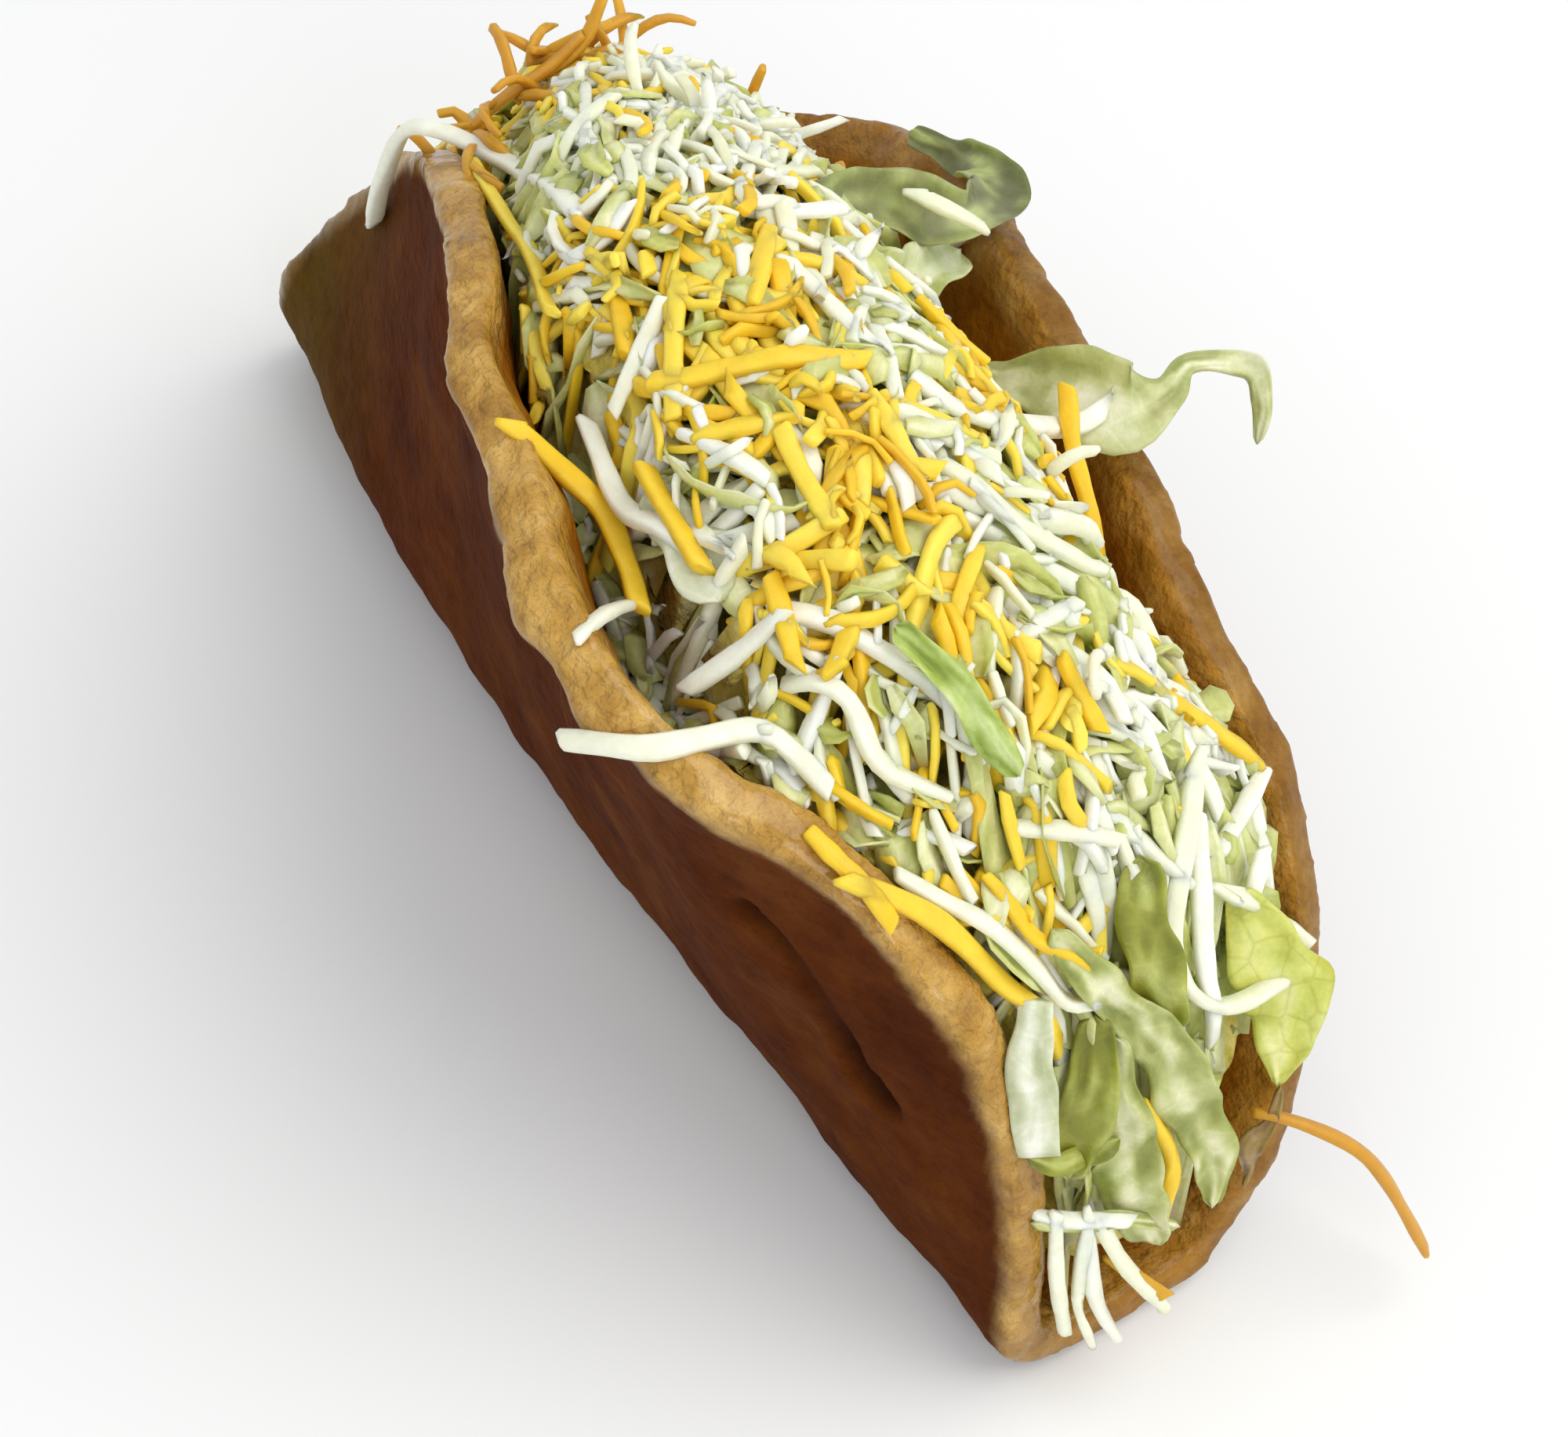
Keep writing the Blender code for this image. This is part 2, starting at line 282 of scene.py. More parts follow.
def core_material_with_painted_shade():
    m = Nodes("filling_core")
    # Painted shade mixed with the filling's own colours: the darker olive lumps stand for the shade in the
    # hollows between packed shreds.
    color = m.ramp(m.noise(0.005, 4, 0.65), (0.30, rgb("#8c8420")), (0.42, rgb("#c4b440")),
                   (0.55, rgb("#e0d070")), (0.7, rgb("#e8e4ac")))
    m.set(Base_Color=color, Roughness=0.6)
    m.bump(m.noise(0.002, 4), 0.001, 0.8)
    return m.mat


# ---- The fried shell ----------------------------------------------------------------------------------
SHELL_VOXEL = 0.85 * MM
RIM_THROUGH = 11 * MM           # looking inwards from the rim, the bread is at least this thick
RIM_BAND = 6.5 * MM
SECTION_REACH = 12 * MM         # half the length of filling that gives its middle at a station
# (depth, width of a lump, noise seed, octaves) of the soft puffs all over the bread
PUFFS = [(0.6 * MM, 19 * MM, 1, 2), (0.30 * MM, 6 * MM, 2, 2)]
CREASE_DEPTH = 2.2 * MM
OLIVE_FULL, OLIVE_GONE = -84 * MM, -38 * MM     # X between which the high end's olive tint fades


def make_shell():
    """The CAD shell, evenly meshed, with puffs, pebbles at the rim, blisters and a crease."""
    mesh = refined(["shell"], "fried_shell", SHELL_VOXEL, 6)
    co, no = coordinates(mesh), normals(mesh)
    tree = tree_of(mesh)
    through = np.array([(tree.ray_cast(Vector(p - n * 0.3 * MM), Vector(-n))[3] or 1.0)
                        for p, n in zip(co, no)])
    edge_points = co[through > RIM_THROUGH]
    kd = KDTree(len(edge_points))
    for i, p in enumerate(edge_points):
        kd.insert(p, i)
    kd.balance()
    from_rim = np.array([kd.find(p)[2] for p in co])

    filling = coordinates(nodes["lettuce"].data)
    middle = np.zeros_like(co)
    stations = np.linspace(filling[:, 0].min(), filling[:, 0].max(), 12)
    for axis in (1, 2):
        means = [filling[abs(filling[:, 0] - s) < SECTION_REACH, axis].mean() for s in stations]
        middle[:, axis] = np.interp(co[:, 0], stations, means)
    middle[:, 0] = co[:, 0]
    facing = ((middle - co) * no).sum(1) / np.maximum(np.linalg.norm(middle - co, axis=1), 1e-6)
    inside = smooth_step(facing, -0.2, 0.25)

    near_rim = 1 - smooth_step(from_rim, 1.5 * MM, RIM_BAND)
    push = sum(depth * field(co, width, seed, octaves) for depth, width, seed, octaves in PUFFS)
    push += near_rim * (0.30 * MM * field(co, 8 * MM, 3) + 0.18 * MM * field(co, 3.0 * MM, 4))
    push += (0.3 + 0.7 * near_rim) * 0.16 * MM * field(co, 1.7 * MM, 5)
    for centre, radius, height in blisters():
        d = np.linalg.norm(co - centre, axis=1) / radius
        push += height * np.clip(1 - d * d, 0, 1) ** 2
    dent = crease(co) * (1 - inside)
    push -= CREASE_DEPTH * dent
    co = co + no * push[:, None]
    co[:, 2] = np.maximum(co[:, 2], 0.0)
    mesh.vertices.foreach_set("co", co.ravel())
    mesh.update()

    ragged = from_rim + 1.2 * MM * field(co, 9 * MM, 7)
    over_edge = 1 - smooth_step(ragged, 1.0 * MM, 3.4 * MM)
    inner_band = 1 - smooth_step(ragged, 3.0 * MM, 6.5 * MM)
    near_side = smooth_step(co[:, 1], 5 * MM, -15 * MM)
    rim = over_edge * (1 - inside) + inner_band * inside
    rim = rim * (0.45 + 0.55 * near_side) * (1 + 0.15 * field(co, 5 * MM, 8))
    set_attribute(mesh, "rim", np.clip(rim, 0, 1))
    set_attribute(mesh, "inside", inside)
    olive = (1 - smooth_step(co[:, 0], OLIVE_FULL, OLIVE_GONE)) * (1 - inside)
    set_attribute(mesh, "olive", np.clip(olive * (0.75 + 0.5 * field(co, 14 * MM, 9)), 0, 0.85))
    # Painted shade along the crease, darker than the bread's own colour.
    set_attribute(mesh, "dark", np.clip(dent * 1.1, 0, 0.9))
    mesh.shade_smooth()
    mesh.materials.clear()
    mesh.materials.append(bread_material())
    shell = bpy.data.objects.new("fried_shell", mesh)
    bpy.context.scene.collection.objects.link(shell)
    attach(shell, "root")
    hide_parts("shell")
    return shell


def blisters():
    """(centre, radius, height) of the larger bubbles on the bread, in metres."""
    chosen = [((15, -33, 74), 6, 1.6), ((2, -29, 72), 5, 1.3), ((-14, -23, 70), 5, 1.0),
              ((38, -38, 70), 6, 1.3), ((53, -34, 66), 5, 1.0), ((27, -38, 73), 5, 1.1),
              ((30, 33, 55), 7, 1.0), ((55, 32, 44), 6, 1.0), ((8, 36, 57), 6, 0.9),
              ((58, -26, 40), 7, 1.0), ((20, -24, 45), 9, 1.2), ((-50, -9, 40), 9, 1.4),
              ((-30, -18, 50), 10, 1.0), ((64, -22, 30), 6, 0.8)]
    return [(np.array(c) * MM, r * MM, h * MM) for c, r, h in chosen]


def crease(co):
    """1 along a bent crease on the outside of the near wall, 0 away from it. It dents the bread, and
    make_shell paints shade along it.
    """
    line = np.array([(52, -29, 50), (57, -27, 47), (60, -25, 42), (62, -22, 35), (66, -20, 31)]) * MM
    near = np.full(len(co), 1.0)
    for a, b in zip(line, line[1:]):
        f = np.clip(((co - a) @ (b - a)) / ((b - a) @ (b - a)), 0, 1)
        near = np.minimum(near, np.linalg.norm(co - (a + f[:, None] * (b - a)), axis=1))
    return 1 - smooth_step(near, 0.4 * MM, 3.2 * MM)


# ---- The heap as a height map -------------------------------------------------------------------------
class HeightMap:
    """Heights over the table on a fine grid.  Shreds are laid on it one by one and raise it."""
    STEP = 0.5 * MM
    MARGIN = np.array([14, 10]) * MM    # room past the bread for shreds that stick out

    def __init__(self, low, high):
        self.low = np.array(low)[:2] - self.MARGIN
        size = np.array(high)[:2] + self.MARGIN - self.low
        self.shape = tuple(int(n) for n in np.ceil(size / self.STEP))
        self.top = np.zeros(self.shape)

    def cells(self, xy):
        index = np.rint((xy - self.low) / self.STEP).astype(int)
        return np.clip(index[:, 0], 0, self.shape[0] - 1), np.clip(index[:, 1], 0, self.shape[1] - 1)

    def cast(self, tree):
        """The height of a mesh over every cell, 0 where there is none."""
        heights = np.zeros(self.shape)
        down = Vector((0, 0, -1))
        for i in range(self.shape[0]):
            for j in range(self.shape[1]):
                x, y = self.low + np.array([i, j]) * self.STEP
                hit = tree.ray_cast(Vector((x, y, 0.2)), down)[0]
                if hit is not None:
                    heights[i, j] = hit.z
        return heights

    def read(self, xy, grid=None):
        return (self.top if grid is None else grid)[self.cells(xy)]

    def deposit(self, path, half_width, half_height):
        reach = max(int(round(half_width / self.STEP)), 1)
        offsets = [(i, j) for i in range(-reach, reach + 1) for j in range(-reach, reach + 1)
                   if i * i + j * j <= reach * reach]
        for i, j in offsets:
            fall = (i * i + j * j) / (reach * reach)
            xy = path[:, :2] + np.array([i, j]) * self.STEP
            np.maximum.at(self.top, self.cells(xy), path[:, 2] + half_height * (1 - 0.8 * fall))


def lay(heap, xy, half_height, sag=0.02 * MM, press=0.55, rounds=40):
    """A shred's middle line along xy, resting on the heap and bridging its hollows."""
    base = heap.read(xy) + half_height * press
    z = base.copy()
    for _ in range(rounds):
        ahead, behind = np.roll(z, -1), np.roll(z, 1)
        ahead[-1] = 2 * z[-1] - z[-2]
        behind[0] = 2 * z[0] - z[1]
        z = np.maximum(base, 0.5 * (ahead + behind) - sag)
    return np.column_stack([xy, z])


def resample(points, step):
    """A smooth, evenly spaced line through a few points."""
    p = np.asarray(points, float)
    ends = np.vstack([2 * p[0] - p[1], p, 2 * p[-1] - p[-2]])
    out = []
    for a, b, c, d in zip(ends, ends[1:], ends[2:], ends[3:]):
        for f in np.linspace(0, 1, 16, endpoint=False):
            out.append(0.5 * (2 * b + (c - a) * f + (2 * a - 5 * b + 4 * c - d) * f ** 2
                              + (3 * b - a - 3 * c + d) * f ** 3))
    out = np.array(out + [p[-1]])
    along = np.concatenate([[0], np.cumsum(np.linalg.norm(np.diff(out, axis=0), axis=1))])
    count = max(int(along[-1] / step) + 1, 5)
    even = np.linspace(0, along[-1], count)
    return np.column_stack([np.interp(even, along, out[:, i]) for i in range(out.shape[1])])


STEP = 1.4 * MM                 # spacing of the points along a shred


# ---- Shreds -------------------------------------------------------------------------------------------
class Batch:
    """Many small pieces of one kind, joined into one mesh with a tone for each."""

    def __init__(self):
        self.verts, self.faces, self.tones, self.count = [], [], [], 0

    def add(self, verts, faces, tone):
        self.verts.append(verts)
        self.faces += [[self.count + i for i in f] for f in faces]
        self.tones.append(np.broadcast_to(tone, len(verts)))
        self.count += len(verts)

    def finish(self, name, mat, slot, *replaced):
        obj = mesh_object(name, np.vstack(self.verts), self.faces, mat)
        set_attribute(obj.data, "tone", np.concatenate(self.tones))
        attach(obj, "root")
        if replaced:
            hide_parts(*replaced)
        return obj


def frames(path, up=(0, 0, 1), twist=0.0, turn=0.0):
    """Directions along a path; turn rolls all of it and twist one end against the other."""
    tangent = np.gradient(path, axis=0)
    tangent /= np.maximum(np.linalg.norm(tangent, axis=1, keepdims=True), 1e-9)
    side = np.cross(tangent, np.broadcast_to(up, tangent.shape))
    side /= np.maximum(np.linalg.norm(side, axis=1, keepdims=True), 1e-9)
    over = np.cross(side, tangent)
    angle = turn + twist * np.linspace(-0.5, 0.5, len(path))
    c, s = np.cos(angle)[:, None], np.sin(angle)[:, None]
    return tangent, side * c + over * s, over * c - side * s


SECTION = 8
section_angles = (np.arange(SECTION) + 0.5) * 2 * pi / SECTION
SQUARE = np.column_stack([np.sign(np.cos(section_angles)) * abs(np.cos(section_angles)) ** 0.45,
                          np.sign(np.sin(section_angles)) * abs(np.sin(section_angles)) ** 0.6])


def shred(path, width, height, turn=0.0, twist=0.0, seed=0):
    """A grated strand: a soft square section swept along a path, uneven, thinner at its torn ends."""
    tangent, side, over = frames(path, twist=twist, turn=turn)
    n = len(path)
    f = np.linspace(0, 1, n)
    draw = np.random.default_rng(seed)
    phase, torn = draw.uniform(0, 6, 2), draw.uniform(0.75, 1.0, 2)
    grow = 1 + 0.07 * np.sin(f * 8 + phase[0]) + 0.05 * np.sin(f * 21 + phase[1])
    reach = 2.5 * STEP / max(n * STEP, 1e-6)
    first_end, last_end = np.clip(1 - f / reach, 0, 1), np.clip(1 - (1 - f) / reach, 0, 1)
    grow *= 1 - (1 - torn[0]) * first_end - (1 - torn[1]) * last_end
    lean = draw.normal(0, 0.35, 2) * width
    rings = np.vstack([path[:1] - tangent[:1] * 0.2 * height + side[:1] * lean[0] * 0.3, path,
                       path[-1:] + tangent[-1:] * 0.2 * height + side[-1:] * lean[1] * 0.3])
    scale = np.concatenate([[0.8 * grow[0]], grow, [0.8 * grow[-1]]])[:, None, None]
    index = np.clip(np.arange(n + 2) - 1, 0, n - 1)
    shear = np.zeros(n + 2)
    shear[:2], shear[-2:] = lean[0] / width, lean[1] / width
    verts = (rings[:, None, :]
             + side[index][:, None, :] * (SQUARE[:, 0] * width / 2)[None, :, None] * scale
             + over[index][:, None, :] * (SQUARE[:, 1] * height / 2)[None, :, None] * scale
             + tangent[index][:, None, :] * (SQUARE[None, :, 0] * shear[:, None])[..., None] * width)
    start = np.arange(n + 1)[:, None] * SECTION
    j = np.arange(SECTION)[None, :]
    k = (j + 1) % SECTION
    faces = np.stack([start + j, start + j + SECTION, start + k + SECTION, start + k], -1)
    faces = faces.reshape(-1, 4).tolist()
    faces.append(list(range(SECTION)))
    faces.append(list(range((n + 2) * SECTION - 1, (n + 1) * SECTION - 1, -1)))
    return verts.reshape(-1, 3), faces


RUFFLE_LENGTH = 6 * MM          # length of a leaf's larger waves


def ribbon(path, half_width, thickness, up=(0, 0, 1), turn=0.0, twist=0.0, cup=0.2, ruffle=0.0,
           columns=7, seed=0):
    """A leaf strip: two close surfaces along a path, cupped, ruffled at the edges and closed all round."""
    tangent, side, over = frames(path, up=up, twist=twist, turn=turn)
    n = len(path)
    along = np.concatenate([[0], np.cumsum(np.linalg.norm(np.diff(path, axis=0), axis=1))]) / RUFFLE_LENGTH
    v = np.linspace(-1, 1, columns)
    half = np.broadcast_to(half_width, n)
    shift = seed * 9.13
    wave = np.array([[noise.noise(Vector((a, b * 1.2, shift))) for b in v] for a in along])
    fine = np.array([[noise.noise(Vector((a * 2.6, b * 2.4, shift + 3))) for b in v] for a in along])
    edge = np.array([[noise.noise(Vector((a * 1.2, b * 3 + 5, shift + 7))) for b in (-1, 1)] for a in along])
    reach = np.where(v[None, :] < 0, 1 + 0.4 * edge[:, :1], 1 + 0.4 * edge[:, 1:]) * half[:, None]
    lift = cup * half[:, None] * v[None, :] ** 2
    lift = lift + ruffle * (1.5 * wave + 0.35 * fine) * (0.3 + 0.7 * abs(v))[None, :]
    mid = path[:, None, :] + side[:, None, :] * (v[None, :] * reach)[..., None]
    mid = mid + over[:, None, :] * lift[..., None]
    thick = thickness / 2 * (1 - 0.55 * abs(v) ** 3)[None, :, None]
    top, under = mid + over[:, None, :] * thick, mid - over[:, None, :] * thick
    verts = np.concatenate([top.reshape(-1, 3), under.reshape(-1, 3)])
    faces, half_count = [], n * columns
    for i in range(n - 1):
        for j in range(columns - 1):
            a = i * columns + j
            faces.append((a, a + 1, a + columns + 1, a + columns))
            b = a + half_count
            faces.append((b, b + columns, b + columns + 1, b + 1))
    border = ([(i, 0) for i in range(n)] + [(n - 1, j) for j in range(1, columns)]
              + [(i, columns - 1) for i in range(n - 2, -1, -1)]
              + [(0, j) for j in range(columns - 2, 0, -1)])
    for (i, j), (k, l) in zip(border, border[1:] + border[:1]):
        a, b = i * columns + j, k * columns + l
        faces.append((a, b, b + half_count, a + half_count))
    tone = 0.42 - 0.25 * v[None, :] ** 2 + 0.9 * wave + 0.5 * fine + 0.35 * np.exp(-(v[None, :] * 4) ** 2)
    return verts, faces, np.clip(np.concatenate([tone.ravel(), tone.ravel()]), 0, 1)


# ---- The filling --------------------------------------------------------------------------------------
CORE_VOXEL = 1.2 * MM
CORE_DEPTH = 4.4 * MM           # the core's top is this far under the heap's top
CORE_SIDE = 0.3 * MM            # and its sides this far inside the heap's sides
CORE_RELIEF, CORE_LUMP = 0.9 * MM, 4 * MM
HEAP_SIDE_TOP = 45 * MM         # above this height the heap's edges run beside the walls' tops
EDGE_SPACING = 6 * MM


def heap_edges():
    """Stations along X and the heap's -Y and +Y edges at each."""
    co = np.vstack([coordinates(nodes[name].data) for name in ("lettuce", "cheese")])
    stations = np.arange(-10, 56, 6) * MM
    high = co[:, 2] > HEAP_SIDE_TOP
    slices = [co[high & (abs(co[:, 0] - x) < EDGE_SPACING), 1] for x in stations]
    return stations, [s.min() for s in slices], [s.max() for s in slices]


def set_back(x, y):
    """How much lower the heap is beside each wall where the wall's inner side shows."""
    stations, near, far = heap_edges()
    from_near, from_far = y - np.interp(x, stations, near), np.interp(x, stations, far) - y
    total = 0
    # For each wall: how far in, then the middle, half length and depth in millimetres.
    for distance, middle, half_length, depth in ((from_near, 21, 23, 12), (from_far, 22, 20, 9)):
        along = np.sqrt(np.clip(1 - ((x / MM - middle) / half_length) ** 2, 0, 1))
        total = total + depth * MM * along * (1 - smooth_step(distance, 2.5 * MM, 8 * MM))
    return total


def make_core():
    """The inside of the heap, smaller than the CAD heap, so that real shreds can cover it."""
    mesh = refined(["lettuce", "cheese"], "filling_core", CORE_VOXEL, 3)
    co, no = coordinates(mesh), normals(mesh)
    depth = CORE_SIDE + (CORE_DEPTH - CORE_SIDE) * smooth_step(no[:, 2], 0.0, 0.6)
    relief = CORE_RELIEF * field(co, CORE_LUMP, 11, 2)
    co = co - no * (depth - relief)[:, None]
    co[:, 2] -= set_back(co[:, 0], co[:, 1]) * smooth_step(co[:, 2], 35 * MM, 60 * MM)
    mesh.vertices.foreach_set("co", co.ravel())
    mesh.update()
    mesh.shade_smooth()
    mesh.materials.clear()
    mesh.materials.append(core_material_with_painted_shade())
    core = bpy.data.objects.new("filling_core", mesh)
    bpy.context.scene.collection.objects.link(core)
    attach(core, "root")
    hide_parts("lettuce")
    return core


def wander(start, heading, length, bend, wobble):
    """An xy line with its middle at start, which turns by bend in all and wobbles on the way."""
    count = max(int(length / STEP), 4)
    f = np.linspace(-0.5, 0.5, count)
    phase = rng.uniform(0, 2 * pi, 2)
    angle = heading + bend * f + wobble * (np.sin(f * 11 + phase[0]) + 0.6 * np.sin(f * 23 + phase[1]))
    line = np.cumsum(np.column_stack([np.cos(angle), np.sin(angle)]) * length / (count - 1), axis=0)
    return start + line - line[count // 2]


# Shares of yellow and white cheese along the heap's top, where the rest is lettuce, and how fine the
# shreds are there: 1 is full width.
ALONG = np.array([-84, -60, -46, -34, -18, -4, 8, 22, 38, 52, 64, 74, 84]) * MM
YELLOW = [0.34, 0.38, 0.50, 0.26, 0.18, 0.48, 0.62, 0.54, 0.46, 0.38, 0.20, 0.08, 0.04]
WHITE = [0.44, 0.44, 0.42, 0.66, 0.72, 0.48, 0.36, 0.42, 0.48, 0.48, 0.34, 0.16, 0.08]
FINE = [1.0, 0.9, 0.75, 0.7, 0.7, 0.85, 1.0, 1.0, 1.0, 1.0, 1.0, 1.0, 1.0]
# Ranges of sizes in millimetres: of leaf shreds, of cheese shreds and of broken bits.
LEAF_LENGTH, LEAF_HALF_WIDTH = (6, 20), (1.0, 2.6)
CHEESE_WIDTH = (1.3, 2.3)
BIT_LENGTH, BIT_WIDTH = (3, 9), (0.9, 1.6)
PATCHY = 0.6                    # share of the shreds that take the kind of the nearest patch
# Middles, in millimetres, of the patches where one kind lies thickest.
PATCHES = {
    "yellow": [(1, -15), (-4, -6), (14, -4), (27, -5), (41, -7), (46, -22), (57, -24), (55, -5), (66, -5),
               (63, -30), (75, -25), (1, -24), (-5, 2), (-42, 0), (20, -14), (22, 20), (42, -14),
               (36, -3), (30, 12), (50, 2), (62, -14)],
    "white": [(-24, -5), (-13, -4), (-20, 9), (-10, 8), (12, -22), (30, -25), (42, -26), (53, -13),
              (32, 4), (44, 6), (55, 7), (61, -21), (74, -11), (5, 7), (69, 3), (-32, 12)],
    "lettuce": [(-7, -6), (15, 4), (80, -12), (72, 8), (-30, -10), (50, -12)],
}


class Filling:
    """The batches of shreds, and the height map that they are laid on."""

    def __init__(self, core, shell):
        self.heap = HeightMap(*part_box("shell"))
        self.target = self.heap.cast(tree_of(nodes["lettuce"].data, nodes["cheese"].data))
        self.heap.top = self.heap.cast(tree_of(core.data, shell.data))
        self.batches = {"yellow": Batch(), "white": Batch(), "lettuce": Batch()}
        inside = self.target > 0
        x, y = np.meshgrid(*(self.heap.low[i] + np.arange(n) * self.heap.STEP
                             for i, n in enumerate(self.heap.shape)), indexing="ij")
        self.target -= np.where(inside, set_back(x, y), 0)
        self.first = inside.argmax(1)
        self.width = np.maximum(inside.sum(1), 1)

    def strand(self, kind, path, width, height, turn=0.0, twist=0.0, tone=0.5):
        batch = self.batches[kind]
        verts, faces = shred(path, width, height, turn, twist, batch.count)
        batch.add(verts, faces, tone)
        self.heap.deposit(path, width / 2, height / 2)

    def leaf_shred(self, path, half_width, ruffle, turn, twist, tone):
        verts, faces, tones = ribbon(path, half_width * taper(len(path)), 0.5 * MM, turn=turn, twist=twist,
                                     cup=rng.uniform(-0.3, 0.5), ruffle=ruffle, columns=5,
                                     seed=rng.integers(1000))
        self.batches["lettuce"].add(verts, faces, np.clip(0.6 * tones + tone, 0, 1))
        self.heap.deposit(path, half_width * 0.8, 0.4 * MM)

    def open_cell(self, room_needed):
        """A random place where the heap is still lower than it should be, or None."""
        room = (self.target - self.heap.top) * (self.target > 0)
        weights = np.clip(room - room_needed, 0, 3 * MM).ravel()
        total = weights.sum()
        if total <= 0:
            return None
        cell = np.searchsorted(np.cumsum(weights), rng.random() * total)
        i, j = divmod(int(cell), self.heap.shape[1])
        return self.heap.low + np.array([i, j]) * self.heap.STEP

    def fits(self, path, slack):
        """Whether a path keeps to the heap: not over a wall and not above the heap's outline."""
        goal = self.heap.read(path[:, :2], self.target)
        return (goal > 0).mean() > 0.85 and (path[:, 2] - goal)[goal > 0].max() < slack

    def pick_kind(self, place, leafy):
        """The kind of the next shred: cheese on the crown, more lettuce at the edges and underneath."""
        column = self.heap.cells(place[None])
        across = (column[1][0] - self.first[column[0][0]]) / self.width[column[0][0]]
        edge = smooth_step(abs(across - 0.5), 0.34, 0.5)
        x = place[0] + rng.normal() * 5 * MM
        if rng.random() < max(leafy, 0.45 * edge):
            return "lettuce"
        if rng.random() < PATCHY:
            return min((np.hypot(*(place / MM - spot) + rng.normal(size=2) * 3), kind)
                       for kind, spots in PATCHES.items() for spot in spots)[1]
        draw = rng.random()
        yellow, white = np.interp(x, ALONG, YELLOW), np.interp(x, ALONG, WHITE)
        return "yellow" if draw < yellow else "white" if draw < yellow + white else "lettuce"

    def lay_line(self, start, length, bend, wobble, half_height, slack, heading):
        """A line laid on the heap, or None.  Where it would leave the heap, it turns along the wall."""
        for angle, share in ((heading, 1.0), (rng.normal() * 0.35, 0.7), (rng.normal() * 0.5, 0.4)):
            path = lay(self.heap, wander(start, angle, length * share, bend, wobble), half_height)
            if self.fits(path, slack):
                return path
        return None

    def lay_leaf(self, start, bend, fine, slack):
        length, half = rng.uniform(*LEAF_LENGTH) * MM, rng.uniform(*LEAF_HALF_WIDTH) * MM * fine
        path = self.lay_line(start, length, bend * 1.5, 0.12, 0.3 * MM, slack, rng.uniform(0, pi))
        if path is not None:
            self.leaf_shred(path, half, rng.uniform(0.4, 1.1) * MM, rng.normal() * 0.6, rng.normal() * 1.4,
                            rng.uniform(-0.1, 0.45))

    def lay_sheaf(self, kind, start, bend, fine, slack):
        """One to three strands side by side."""
        heading = rng.uniform(0, pi)
        length = rng.gamma(3.5, 4.2) * MM + 5 * MM
        width = rng.uniform(*CHEESE_WIDTH) * MM * fine
        bend = bend * (1 + 5 * (1 - fine))
        height = width * rng.uniform(0.55, 0.8)
        aside = np.array([-np.sin(heading), np.cos(heading)])
        for number in range(rng.choice([1, 1, 1, 2, 3])):
            place = start + aside * number * width * 0.95 + rng.normal(size=2) * 0.8 * MM
            path = self.lay_line(place, length * rng.uniform(0.6, 1.1), bend, 0.05, height / 2, slack,
                                 heading + rng.normal() * 0.12)
            if path is None:
                continue
            path[:, 2] += np.linspace(-0.5, 0.5, len(path)) * rng.choice([0, 0, 1, 2, 3, 6]) * MM
            self.strand(kind, path, width, height, rng.normal() * 0.6, rng.normal() * 0.9,
                        rng.uniform(0.4, 1.0))

    def fill(self, tries, room_needed, slack, leafy):
        """Lay shreds at random until the heap reaches its outline; leafy is the least share of lettuce."""
        for _ in range(tries):
            start = self.open_cell(room_needed)
            if start is None:
                break
            kind = self.pick_kind(start, leafy)
            fine = np.interp(start[0], ALONG, FINE)
            if kind == "lettuce":
                self.lay_leaf(start, rng.normal() * 0.8, fine, slack)
            else:
                self.lay_sheaf(kind, start, rng.normal() * 0.8, fine, slack)

    def sprinkle(self, count):
        """Short broken bits of cheese and leaf, half of them where the heap is still low."""
        spots = np.argwhere(self.target > 0)
        for number, cell in enumerate(spots[rng.integers(len(spots), size=count)]):
            start = self.open_cell(0.8 * MM) if number % 2 else None
            if start is None:
                start = self.heap.low + cell * self.heap.STEP
            kind = self.pick_kind(start, 0.12)
            length, width = rng.uniform(*BIT_LENGTH) * MM, rng.uniform(*BIT_WIDTH) * MM
            path = self.lay_line(start, length, rng.normal(), 0.05, width * 0.3, 3 * MM, rng.uniform(0, pi))
            if path is None:
                continue
            if kind == "lettuce":
                self.leaf_shred(path, width, 0.4 * MM, rng.normal() * 0.5, rng.normal(),
                                rng.uniform(0, 0.5))
            else:
                self.strand(kind, path, width, width * 0.7, rng.uniform(0, pi), 0.3, rng.uniform(0.3, 1.0))

    def tuft(self, kind, count, middle, spread, length, width, tones):
        """Thin shreds that stand out of the heap round a middle point, leaning and curling."""
        for _ in range(count):
            base = middle + rng.normal(size=3) * spread
            if self.heap.read(base[None, :2], self.target)[0] <= 0:
                continue
            base[2] = self.heap.read(base[None, :2])[0] - 1.5 * MM
            heading, turn = rng.uniform(0, 2 * pi), rng.normal() * 1.2
            rise, reach = rng.uniform(0.35, 0.9), rng.uniform(0.6, 1.2) * length
            points = [base]
            for step in np.linspace(0, 1, 5)[1:]:
                aside = np.array([cos(heading + turn * step), sin(heading + turn * step), 0])
                up = np.array([0, 0, rise * (1.3 - 1.4 * step)])
                points.append(points[-1] + (aside * 0.7 + up) * reach / 5)
            path = resample(points, STEP)
            size = width * rng.uniform(0.8, 1.2)
            self.strand(kind, path, size, size * 0.75, rng.uniform(0, pi), rng.normal(), rng.uniform(*tones))


def taper(count):
    f = np.linspace(0, 1, count)
    return 0.5 + 0.5 * np.sin(pi * f) ** 0.4


